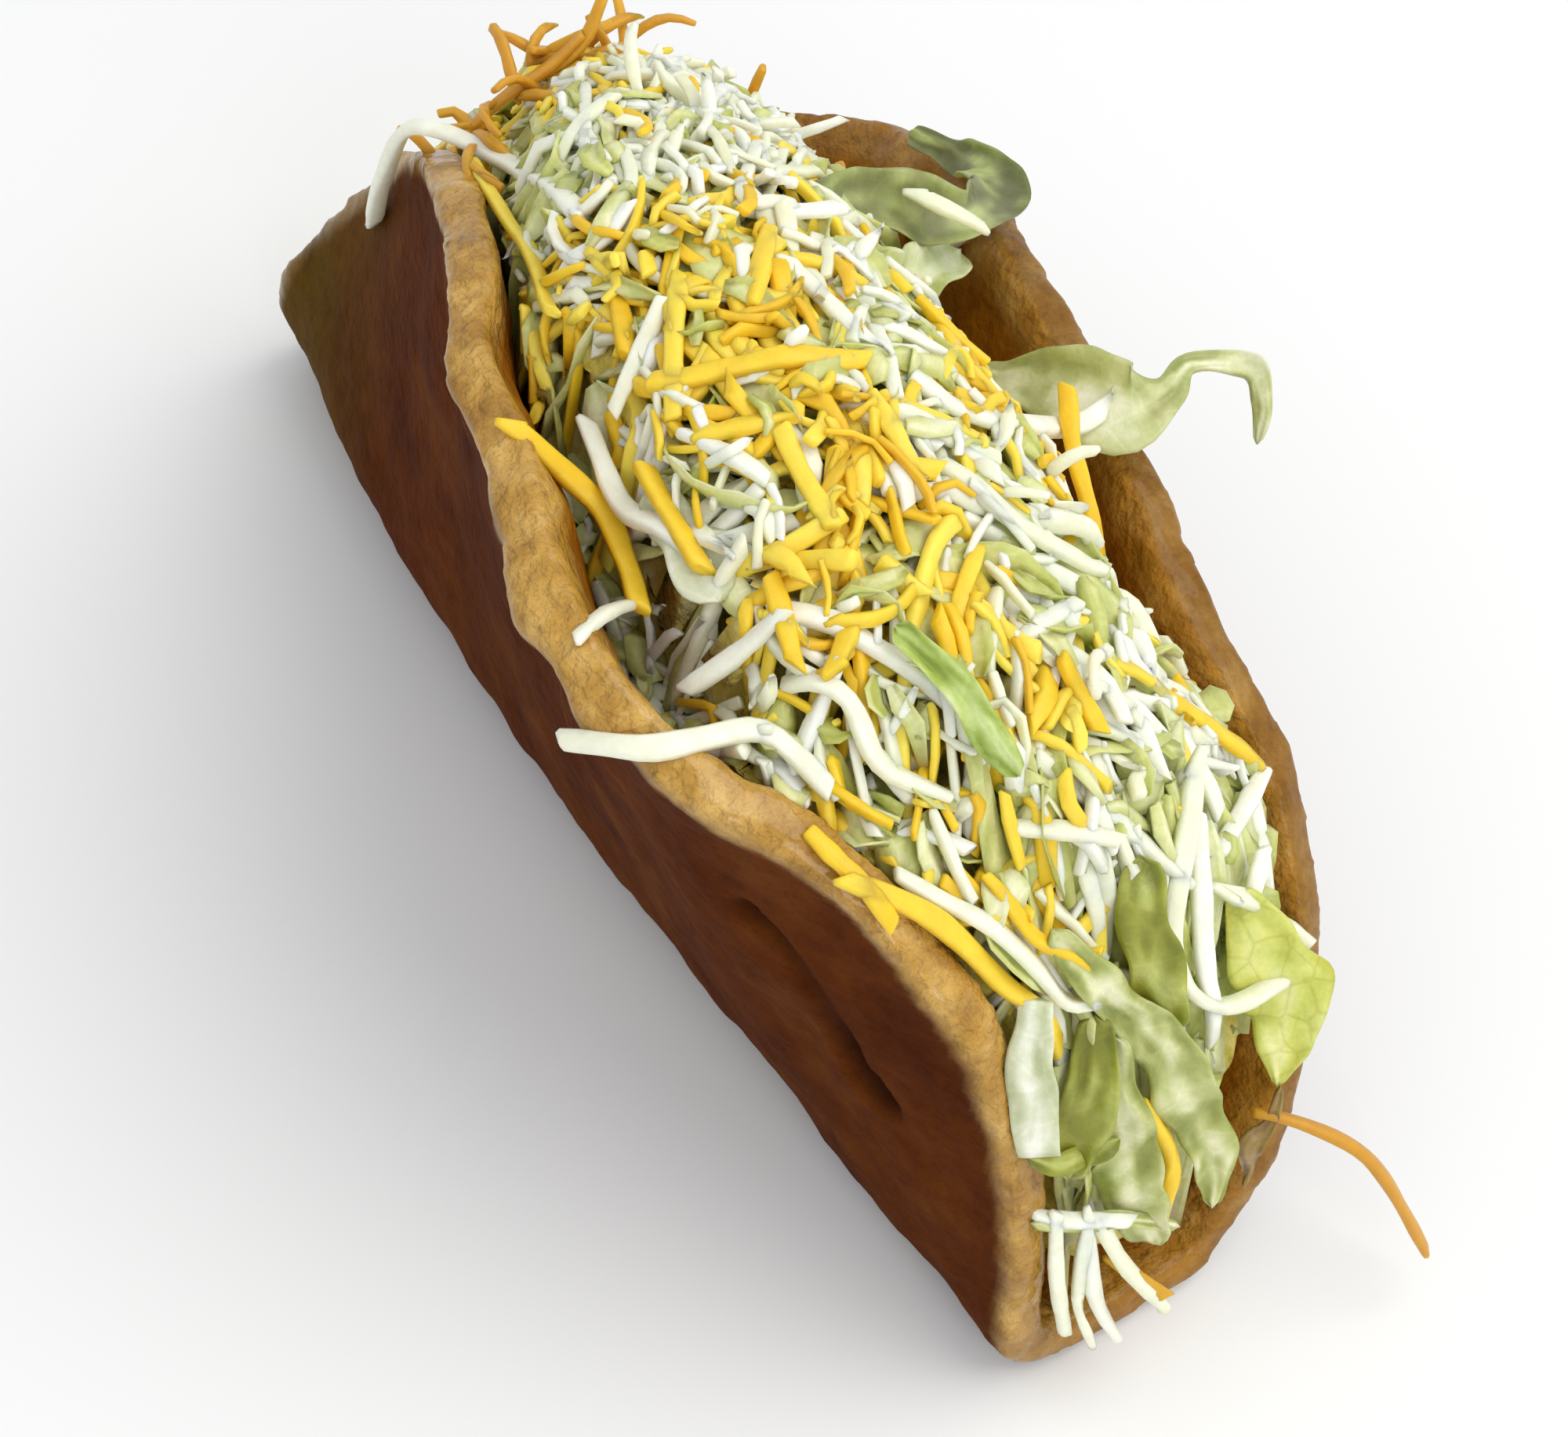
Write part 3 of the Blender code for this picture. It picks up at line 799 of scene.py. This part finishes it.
# The shreds that show most, placed one by one.  Each is (kind, width, points), in millimetres.
PLACED = [
    ("white", 2.5, [(-10, -13, 83), (-33, -9, 71), (-46, -13, 68), (-52, -14, 56), (-61, -11, 41)]),
    ("white", 2.7, [(38, -41, 70), (45, -36, 74), (46, -26, 71), (50, -23, 70), (54, -22, 68)]),
    ("white", 2.0, [(33, -37, 77), (30, -32, 75), (28, -28, 72)]),
    ("yellow", 2.6, [(9, -31, 80), (15, -25, 72), (23, -26, 72), (29, -28, 71)]),
    ("white", 2.2, [(6, -13, 85), (11, -21, 79)]),
    ("white", 2.6, [(8, -22, 75), (19, -24, 74), (29, -23, 73)]),
    ("yellow", 2.6, [(13, -18, 82), (15, -14, 84), (18, -6, 85), (21, 1, 83)]),
    ("white", 2.4, [(19, -18, 82), (29, -15, 82)]),
    ("white", 2.6, [(22, 6, 81), (27, 11, 77), (23, 31, 64)]),
    ("white", 2.4, [(32, 3, 80), (39, 7, 76), (43, 14, 70), (41, 21, 59), (46, 23, 56)]),
    ("yellow", 2.2, [(22.5, 25.5, 71.5), (28.5, 22.5, 70), (32, 23, 64), (34.5, 24, 57)]),
    ("yellow", 2.4, [(52, 19, 58), (55, 23, 53), (58, 28, 47)]),
    ("white", 2.4, [(59, 29, 48), (66, 18, 48)]),
    ("white", 2.5, [(63.5, 14, 59.5), (66.5, 12, 57), (70, 9, 55), (73.5, 6.5, 51), (76.5, 7, 47),
                    (77.5, 10.5, 42.5), (77, 16, 39), (75.5, 26, 35)]),
    ("white", 2.4, [(65, 14.5, 56.5), (69.5, 12.5, 52.5), (74.5, 10.5, 47), (78.5, 10.5, 38)]),
    ("white", 2.4, [(70.5, 15.5, 49.5), (72, 21, 44), (73.5, 27, 37)]),
    ("white", 2.3, [(67, 23, 47.5), (70, 20, 46)]),
    ("white", 2.0, [(82.5, -12, 26), (84, -8, 24.5), (85.5, -1.5, 21.5)]),
    ("white", 2.0, [(83.5, -10, 25), (86, -10, 19), (87.5, -8.5, 10)]),
    ("white", 1.8, [(84.5, -6.5, 24), (87, -7.5, 15), (88.5, -6, 8.5)]),
    ("white", 2.1, [(84.5, -6.5, 20), (87.5, -5.5, 14), (89.5, -3, 7.5)]),
    ("white", 2.4, [(84.5, -5, 20), (87.5, -3, 18), (90.5, 0, 15), (91, 1, 12)]),
    ("orange", 1.9, [(86.5, -3.5, 14), (89, -1.5, 12), (91, 0.5, 10.5)]),
    ("orange", 2.0, [(82, 16, 25.5), (86, 20.5, 25), (89.5, 24.5, 22.5), (92, 27, 18.5), (94, 29, 14),
                     (96.5, 32, 7)]),
    ("orange", 1.7, [(-44, 0, 75), (-46, 3, 72), (-44, 5, 68)]),
    ("orange", 1.6, [(-43, 8, 80), (-42, 5.5, 76), (-42, 2.5, 73.5), (-43, 0, 72)]),
    ("orange", 1.8, [(-44, 7, 77), (-44, 9, 73), (-43, 10, 68), (-41, 12, 63)]),
    ("orange", 1.8, [(-42, -8, 69), (-42, -4, 72), (-42, 1, 73), (-42, 5, 72)]),
    ("orange", 1.7, [(-40, 27.5, 65.5), (-40, 26.5, 63), (-40, 25.5, 59)]),
    ("orange", 1.6, [(-30, 23, 66), (-31, 22, 61), (-32, 21, 58)]),
    ("orange", 1.6, [(-20, 25, 68), (-18, 24, 66), (-17, 23, 63)]),
    ("yellow", 2.5, [(62, -25, 67), (67, -17, 61), (76, -8, 47)]),
    ("white", 2.3, [(62, -19, 64), (69, -12, 58), (76, -5, 46)]),
    ("yellow", 1.8, [(65, -11, 62), (71, -8, 55), (77, 2, 40)]),
    ("white", 2.4, [(44, -21, 73), (49, -18, 76), (55, -17, 70), (59, -12, 68)]),
    ("yellow", 2.4, [(81, 0.5, 37), (83.5, 4, 28), (85.5, 2.5, 21)]),
    ("yellow", 2.4, [(4, -10, 86), (10, -14, 84), (17, -18, 81)]),
    ("yellow", 2.6, [(1, 2, 84), (11, -6, 85)]),
    ("yellow", 2.4, [(37, -19, 80), (45, -21, 77)]),
    ("yellow", 2.3, [(47, -18, 72), (44, -14, 78)]),
    ("yellow", 2.3, [(25, -1, 84), (33, -1, 82)]),
    ("yellow", 2.5, [(21, -17, 82), (24, -10, 84)]),
    ("yellow", 2.4, [(25, -11, 84), (36, -12, 81)]),
    ("yellow", 2.2, [(53, 4, 72), (59, 5, 68)]),
    ("yellow", 2.4, [(19, -22, 79), (29, -23, 78), (32, -23, 78)]),
    ("yellow", 2.2, [(57, -26, 69), (66, -22, 63)]),
    ("white", 2.2, [(6, 1, 85), (19, 3, 82)]),
    ("white", 2.2, [(15, 6, 81), (25, 2, 82)]),
    ("white", 2.4, [(38, -28, 70), (41, -20, 78)]),
    ("white", 2.3, [(63, -7, 65), (68, 2, 61)]),
    ("white", 2.3, [(50, 1, 74), (48, 9, 71)]),
    ("white", 1.6, [(-34, 1, 76), (-20, -7, 82)]),
    ("white", 1.7, [(-17, 2, 83), (-34, 20, 67)]),
    ("white", 2.2, [(-6, 25, 75), (-3, 27, 75), (0, 30, 73)]),
    ("white", 1.8, [(-14, 10, 80), (-4, 2, 84), (-2, 7, 82)]),
    ("white", 1.8, [(-24, 38, 50), (-9, 36, 59)]),
    ("yellow", 1.9, [(-35, -12, 71), (-15, -16, 75), (-3, -20, 76)]),
]


PLACED_SCALE = 0.84             # they are drawn this much of the width written above
PLACED_LIFT = 5 * MM            # the most that one is lifted to clear what lies under it


def lay_placed(filling):
    for kind, width, points in PLACED:
        path = resample(np.array(points) * MM, STEP)
        width *= PLACED_SCALE
        height = width * 0.7 * MM
        floor = filling.heap.read(path[:, :2]) + 0.2 * height
        z = np.maximum(path[:, 2], np.minimum(floor, path[:, 2] + PLACED_LIFT))
        for _ in range(6):
            z[1:-1] = 0.25 * z[:-2] + 0.5 * z[1:-1] + 0.25 * z[2:]
        path[:, 2] = z
        tone = rng.uniform(0.0, 0.12) if kind == "orange" else rng.uniform(0.5, 0.9)
        batch = "yellow" if kind == "orange" else kind
        filling.strand(batch, path, width * MM, height, rng.uniform(-0.4, 0.4), rng.normal() * 0.5, tone)


# Tufts of thin shreds that stand up: kind, count, middle, spread, length, width (mm), range of tones.
TUFTS = [("yellow", 22, (-44, 0, 72), (3, 8, 0), 15, 1.25, (0, 0.15)),
         ("white", 14, (-24, 7, 78), (7, 7, 0), 13, 1.4, (0.4, 1)),
         ("yellow", 9, (-36, -14, 70), (7, 2, 0), 9, 1.2, (0, 0.3)),
         ("white", 12, (38, 12, 75), (16, 5, 0), 10, 1.7, (0.4, 1))]


# ---- Loose leaves -------------------------------------------------------------------------------------
FACING = (0.5, -0.4, 0.77)      # the leaves' faces tilt towards the low end and the near wall
LEAF_STEP = 0.7 * MM
# name: (thickness, ruffle, cup, look, [(x, y, z, half width), ...]), millimetres.
# Those named as in the CAD model replace its plain ribbons; the others are further small pieces.
LEAVES = {
    "leaf_wing": (0.8, 1.0, 0.35, "wing",
                  [(8, 26, 61, 1.0), (12.5, 28, 63, 2.8), (16.5, 29.5, 65, 4.3), (21.5, 31.5, 66.5, 4.6),
                   (24.5, 33, 67, 4.2), (24.5, 37, 67.5, 2.1), (22.5, 41.5, 67.5, 1.2),
                   (23.5, 45.5, 67, 1.2), (24.5, 49, 65, 1.3), (26.5, 49.5, 62, 1.1), (28, 48.5, 58, 0.4)]),
    "leaf_loop": (0.8, 0.7, 0.3, "grey",
                  [(-29.5, 41.5, 58.5, 1.2), (-22.5, 42.5, 61, 1.9), (-16.5, 42.5, 63.5, 2.6),
                   (-9.5, 39, 66.5, 3.0), (-5, 31.5, 70, 3.1), (-6.5, 26, 72, 3.4), (-8, 20, 74.5, 3.2),
                   (-7, 13, 78, 2.4), (-6, 8.5, 80, 1.4)]),
    "leaf_under": (0.8, 0.8, 0.3, "pale",
                   [(6, 5, 82, 1.2), (4, 12, 78, 2.6), (0, 20, 70, 3.3), (-3, 27, 66, 3.0),
                    (-6, 32, 64, 1.5)]),
    "leaf_tip": (0.6, 0.5, 0.2, "yellow",
                 [(70, 17, 48.5, 1.4), (74.5, 19, 43, 4.0), (78, 20.5, 36.5, 4.2), (80, 19, 32.5, 2.7),
                  (82, 18, 29, 0.5)]),
    "leaf_strip": (0.8, 0.9, 0.25, "fresh",
                   [(71, -7, 58.5, 1.2), (74, -4.5, 54, 1.9), (76.5, -0.5, 48, 2.4), (79, 3.5, 42, 2.8),
                    (81.5, 5.5, 36, 3.2), (83.5, 8, 29, 2.7), (85.5, 9, 23, 1.6), (86.5, 8.5, 20, 0.8)]),
    "leaf_rib": (1.1, 0.15, 0.1, "rib",
                 [(74, -10, 53, 1.7), (75.5, -11, 50, 2.0), (77.5, -12, 46.5, 2.4), (79.5, -12, 42.5, 2.4),
                  (81.5, -12.5, 38.5, 2.0)]),
    "leaf_pale": (0.8, 0.4, 0.1, "rib",
                  [(20, -22, 77, 1.8), (27, -22.5, 77.6, 2.6), (35, -23, 76.8, 2.2)]),
    "leaf_green": (0.8, 1.1, 0.1, "bright",
                   [(47, -11.7, 79.5, 1.2), (53, -9.3, 77.6, 1.5), (58, -8.1, 74.8, 1.7),
                    (62, -6.8, 71.4, 1.2)]),
    "leaf_olive": (0.8, 0.9, 0.1, "olive",
                   [(69, 4, 60.5, 1.8), (72, 3.5, 55.5, 2.8), (75.5, 4, 49, 2.8), (78, 5, 43, 1.4)]),
    "leaf_end_a": (0.7, 0.9, 0.2, "olive",
                   [(76, -4, 49, 1.5), (79, -5, 42.5, 2.4), (81, -7, 36.5, 2.6), (82, -8, 32, 1.2)]),
    "leaf_end_b": (0.7, 1.1, 0.2, "fresh",
                   [(77, -2, 46, 1.6), (80.5, -2, 38, 2.4), (82.5, -1, 30, 3.0), (84.5, 0.5, 22, 2.8),
                    (86, 3, 16, 0.8)]),
    "leaf_end_c": (0.6, 0.3, 0.2, "olive",
                   [(81, -13, 37.5, 0.7), (82, -10, 35.5, 1.2), (82, -5, 34, 1.2), (82, -2.5, 34.5, 0.6)]),
    "leaf_end_d": (0.6, 0.3, 0.2, "fresh",
                   [(83, -12.5, 28, 0.6), (84, -7.5, 25.5, 0.9), (85, -2.5, 24, 0.9), (86, 5, 18, 0.6)]),
    "leaf_brown": (0.5, 0.3, 0.3, "brown",
                   [(82.5, 18, 29.5, 0.4), (83.5, 17, 25, 0.7), (84, 14.5, 23, 1.2), (84, 15.5, 17.5, 0.5),
                    (84, 15.5, 14.5, 0.2)]),
}


def rounded(route):
    """Shares of the width that round off both ends of a leaf."""
    along = np.arange(len(route)) * LEAF_STEP
    to_end = np.minimum(along, along[::-1]) / np.maximum(route[:, 3], 1 * MM)
    return 0.2 + 0.8 * np.sqrt(1 - (1 - np.clip(to_end, 0, 1)) ** 2)


def make_leaves(looks):
    made = []
    for number, (name, (thick, ruffle, cup, look, points)) in enumerate(LEAVES.items()):
        route = resample(np.array(points) * MM, LEAF_STEP)
        half = route[:, 3] if name == "leaf_rib" else route[:, 3] * rounded(route)
        verts, faces, tones = ribbon(route[:, :3], half, thick * MM, up=FACING, cup=cup,
                                     ruffle=ruffle * MM, columns=15, seed=number + 3)
        leaf = mesh_object(name + "_fresh", verts, faces, looks[look])
        set_attribute(leaf.data, "tone", tones)
        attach(leaf, "root")
        if name in nodes:
            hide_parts(name)
        made.append(leaf)
    return made


# ---- Floor, lights and camera -------------------------------------------------------------------------
def area_light(name, location, target, size, power, color=(1, 1, 1)):
    light = bpy.data.lights.new(name, "AREA")
    light.shape = "DISK"
    light.size = size
    light.energy = power
    light.color = color
    lamp = bpy.data.objects.new(name, light)
    lamp.location = location
    lamp.rotation_euler = (Vector(target) - Vector(location)).to_track_quat("-Z", "Y").to_euler()
    bpy.context.scene.collection.objects.link(lamp)


def make_studio():
    floor_mat = Nodes("pale_floor")
    floor_mat.set(Base_Color=(0.86, 0.86, 0.85, 1), Roughness=0.8)
    size = 3.0
    corners = [(-size, -size, 0), (size, -size, 0), (size, size, 0), (-size, size, 0)]
    floor = mesh_object("studio_floor", corners, [(0, 1, 2, 3)], floor_mat.mat, smooth=False)
    floor.location.z = -0.0002
    world = bpy.data.worlds.new("studio")
    world.use_nodes = True
    world.node_tree.nodes["Background"].inputs["Color"].default_value = (0.95, 0.97, 1, 1)
    world.node_tree.nodes["Background"].inputs["Strength"].default_value = 0.80
    bpy.context.scene.world = world
    area_light("key", (0.30, 0.35, 0.95), (0, 0, 0.05), 0.9, 5.0, (1, 0.98, 0.94))
    area_light("fill", (0.9, -0.2, 0.6), (0, 0, 0.04), 0.5, 2)
    bpy.context.scene.view_settings.view_transform = "Standard"


def make_camera():
    azimuth, elevation, roll = radians(53.6), radians(50.2), radians(6.8)
    distance, target = 0.3635, Vector((0.0184, -0.0019, 0.030))
    back = Vector((sin(azimuth) * cos(elevation), -cos(azimuth) * cos(elevation), sin(elevation)))
    right = Vector((cos(azimuth), sin(azimuth), 0))
    up = back.cross(right)
    side = right * cos(roll) + up * sin(roll)
    top = up * cos(roll) - right * sin(roll)
    data = bpy.data.cameras.new("camera")
    data.sensor_fit = "HORIZONTAL"
    data.sensor_width = 36
    data.lens = 77.16
    data.clip_start = 0.01
    camera = bpy.data.objects.new("camera", data)
    place = Matrix((side, top, back)).transposed().to_4x4()
    place.translation = target + back * distance
    camera.matrix_world = place
    bpy.context.scene.collection.objects.link(camera)
    bpy.context.scene.camera = camera


# ---- Everything together ------------------------------------------------------------------------------
make_camera()
make_studio()
shell = make_shell()
core = make_core()

looks = {
    "fresh": lettuce_material("fresh_leaf", "#8e9448", "#b6ba78", "#e2e2ba"),
    "wing": lettuce_material("wing_leaf", "#a4a66c", "#c8ca98", "#e6e6cc"),
    "grey": lettuce_material("grey_leaf", "#66683a", "#888a58", "#b2ba7a"),
    "pale": lettuce_material("pale_leaf", "#a8b068", "#c8d094", "#e4e8c4"),
    "rib": lettuce_material("leaf_rib_look", "#bcc09c", "#d2d5ba", "#eaebdc"),
    "bright": lettuce_material("bright_leaf", "#8c9c40", "#a8ba60", "#c8d498"),
    "olive": lettuce_material("olive_leaf", "#767820", "#94963a", "#b8bc6c"),
    "yellow": lettuce_material("yellow_leaf", "#b8b84c", "#d4d674", "#e8e8a4", (0.88, 0.84, 0.72), 0.0036),
    "brown": lettuce_material("brown_leaf", "#6a4c24", "#8c6a3c", "#a88a58"),
}

filling = Filling(core, shell)
filling.fill(600, 1.8 * MM, 1.0 * MM, leafy=0.6)
filling.fill(1700, 0.2 * MM, 1.8 * MM, leafy=0.06)
filling.sprinkle(900)
for leaf in make_leaves(looks):
    filling.heap.top = np.maximum(filling.heap.top, filling.heap.cast(tree_of(leaf.data)))
lay_placed(filling)
for kind, count, middle, spread, length, width, tones in TUFTS:
    filling.tuft(kind, count, np.array(middle) * MM, np.array(spread) * MM, length * MM, width * MM, tones)

yellow_mat = cheese_material("yellow_cheese_look", "#c89028", "#f6c626", "#fce258")
white_mat = cheese_material("white_cheese_look", "#dedcb0", "#eef0d2", "#fafbee")
shred_mat = lettuce_material("lettuce_look", "#b0b458", "#d2d68c", "#ecefc4")
filling.batches["yellow"].finish("yellow_cheese", yellow_mat, "cheese", "cheese")
filling.batches["white"].finish("white_cheese", white_mat, "white_cheese")
filling.batches["lettuce"].finish("lettuce_shreds", shred_mat, "lettuce")
